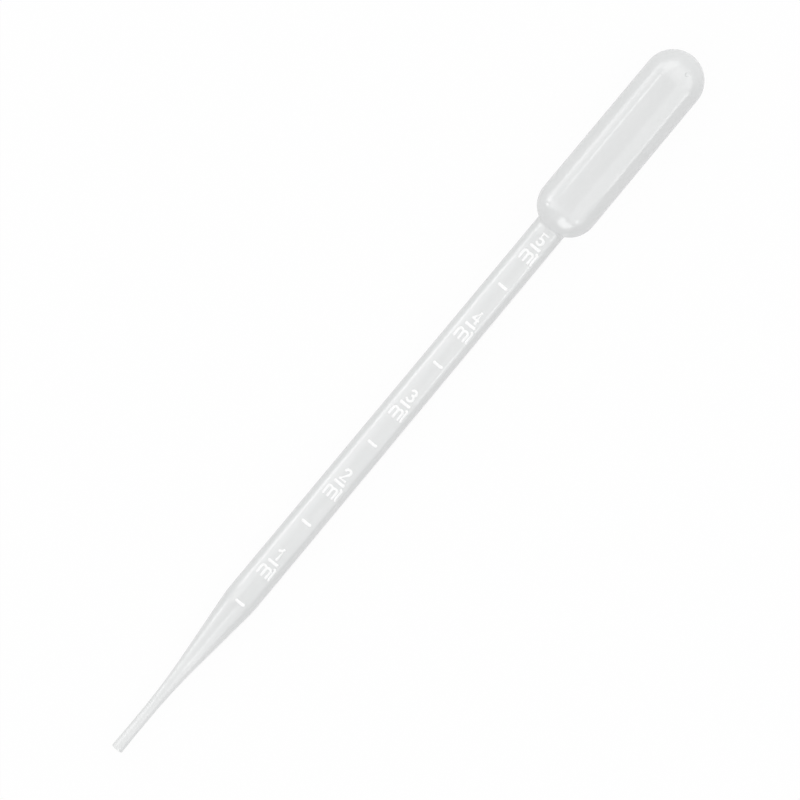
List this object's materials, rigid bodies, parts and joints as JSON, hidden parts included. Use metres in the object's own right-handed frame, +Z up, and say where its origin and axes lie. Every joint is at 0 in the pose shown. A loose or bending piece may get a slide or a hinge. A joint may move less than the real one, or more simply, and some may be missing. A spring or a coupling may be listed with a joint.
{
  "type": "dropper pipette",
  "caption": "Moulded plastic dropper pipette in one piece: squeeze bulb, tube with a raised millilitre scale, long taper and fine drawn tip.",
  "frame": {"origin": "the floor, under the middle of the pipette's box as it lies at rest on its side", "axes": "+X along the pipette from tip to bulb, +Z up, the scale faces +Z and its lettering stands upright towards +X and reads towards -Y; the pipette's own axis rises 1.586 degrees towards the bulb, in the XZ plane"},
  "size_m": [0.22, 0.015, 0.0161],
  "materials": {
    "polyethylene": "natural low-density polyethylene, milky translucent, smooth with a soft gloss"
  },
  "bodies": {
    "root": {"pipette": "polyethylene"}
  },
  "joints": []
}
